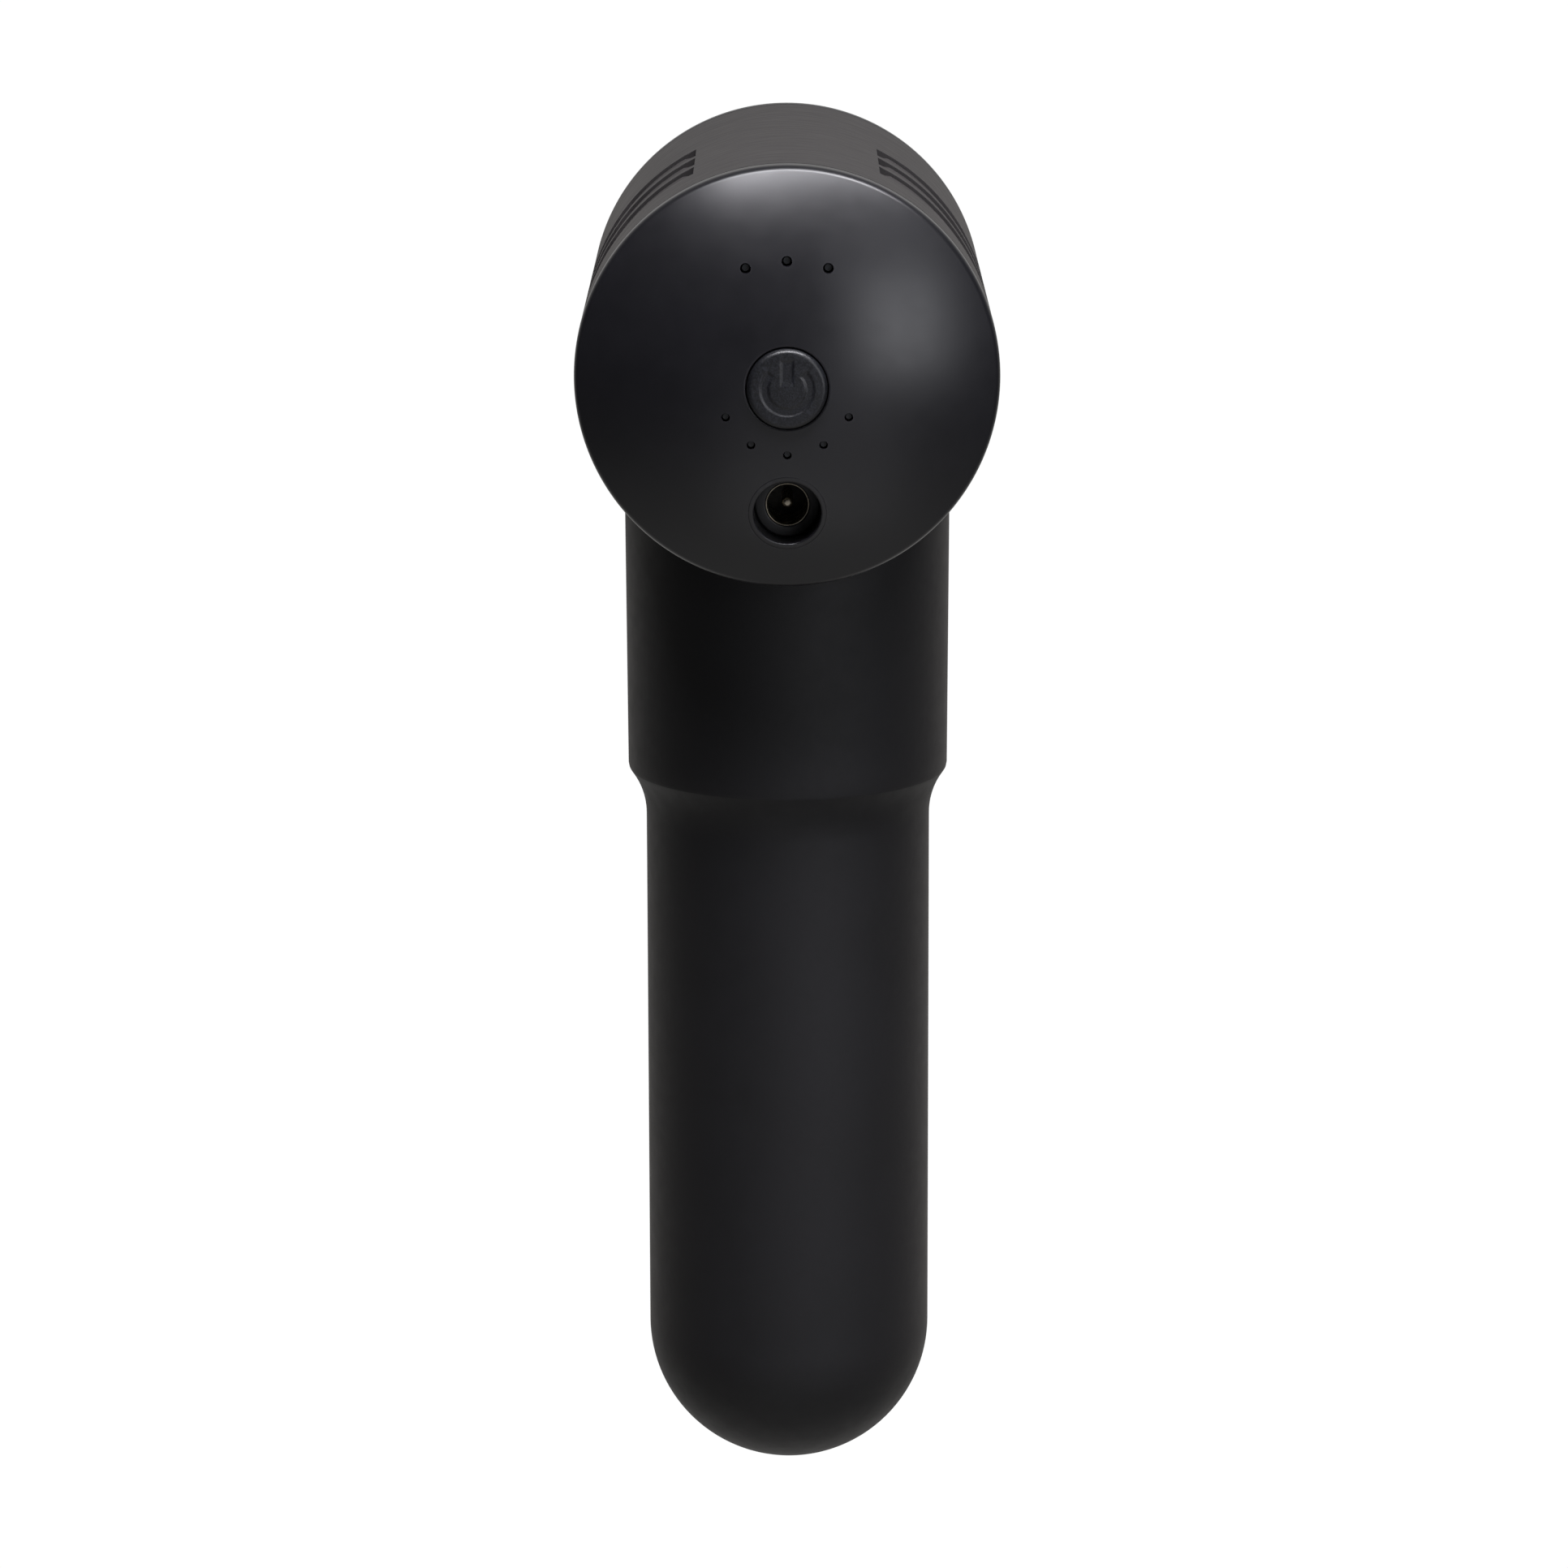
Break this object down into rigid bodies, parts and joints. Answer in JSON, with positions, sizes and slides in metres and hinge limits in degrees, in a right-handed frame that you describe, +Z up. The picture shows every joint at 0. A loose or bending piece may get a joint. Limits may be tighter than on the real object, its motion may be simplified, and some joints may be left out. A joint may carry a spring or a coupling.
{
  "type": "massage gun",
  "caption": "Cordless percussion massage gun: round vented barrel with a domed button cap, a reciprocating round foam head and a straight handle.",
  "frame": {"origin": "on the handle's axis at the middle of the grip, where a hand holds the gun", "axes": "+Z up along the handle to the barrel, +Y along the barrel to the massage head, +X to the right seen from the rear cap"},
  "size_m": [0.064, 0.1443, 0.2152],
  "materials": {
    "soft_touch": "black soft-touch coating",
    "cap_plastic": "black satin moulding",
    "silicone": "black matte silicone",
    "button": "dark grey satin",
    "inner_plastic": "black moulded plastic",
    "rubber_seal": "black rubber",
    "foam": "black closed-cell foam",
    "bushing_plastic": "natural acetal",
    "light_guide": "smoked clear moulding",
    "board": "green solder mask",
    "battery_wrap": "shrink wrap",
    "lead_wire": "red silicone insulation",
    "copper": "enamelled copper on steel teeth",
    "steel": "turned steel",
    "alloy": "die-cast aluminium",
    "brass": "polished brass",
    "magnet": "dark plated"
  },
  "bodies": {
    "housing": {"main_housing": "soft_touch", "grip_sleeve": "silicone", "handle_end_plug": "inner_plastic", "rear_cap": "cap_plastic", "cap_seal_ring": "rubber_seal", "front_cap": "cap_plastic", "nose_seal": "rubber_seal", "guide_bushing": "bushing_plastic", "tact_switch": "inner_plastic", "speed_light_guide": "light_guide", "charge_light_guide": "light_guide", "control_board": "board", "socket_bezel": "cap_plastic", "jack_body": "inner_plastic", "jack_sleeve": "brass", "jack_pin": "brass", "battery_cell_1": "battery_wrap", "battery_cell_2": "battery_wrap", "battery_cell_3": "battery_wrap", "lower_cell_holder": "inner_plastic", "upper_cell_holder": "inner_plastic", "driver_board": "board", "charge_lead": "lead_wire", "battery_lead": "lead_wire", "motor_lead": "lead_wire", "motor_can": "steel", "motor_end_bell": "alloy", "motor_stator": "copper", "motor_front_bearing": "steel", "motor_rear_bearing": "steel", "motor_screw_1": "steel", "motor_screw_2": "steel", "motor_screw_3": "steel", "motor_screw_4": "steel", "drive_frame": "alloy", "frame_screw_1": "steel", "frame_screw_2": "steel", "frame_screw_3": "steel", "frame_screw_4": "steel"},
    "rotor": {"motor_shaft": "steel", "rotor_magnet": "magnet", "cooling_fan": "inner_plastic", "crank_disc": "steel", "crank_grub_screw": "magnet"},
    "rod": {"connecting_rod": "alloy", "big_end_bearing": "steel", "small_end_bush": "brass", "crank_pin": "steel", "crank_pin_screw": "magnet"},
    "piston": {"piston": "alloy", "wrist_pin": "steel"},
    "head": {"head_stem": "inner_plastic", "stem_seal_ring": "rubber_seal", "massage_ball": "foam"},
    "button": {"power_button": "button", "switch_plunger": "inner_plastic"}
  },
  "joints": [
    {"name": "piston_stroke", "type": "slide", "parent": "housing", "child": "piston", "axis": [0, 1, 0], "range_m": [0, 0.012]},
    {"name": "rotor_spin", "type": "hinge", "parent": "housing", "child": "rotor", "pos_m": [0, 0, 0.105], "axis": [0, 0, 1], "continuous": true},
    {"name": "rod_swing", "type": "hinge", "parent": "piston", "child": "rod", "pos_m": [0, 0.022, 0.12], "axis": [0, 0, 1], "range_deg": [-12.4, 12.4]},
    {"name": "head_release", "type": "slide", "parent": "piston", "child": "head", "axis": [0, 1, 0], "range_m": [0, 0.018]},
    {"name": "power_button_press", "type": "slide", "parent": "housing", "child": "button", "axis": [0, 1, 0], "range_m": [0, 0.0006], "stiffness_N_per_m": 900}
  ],
  "couplings": [
    {"joint": "rotor_spin", "follows": "piston_stroke", "rad_per_m": 261.8}
  ]
}
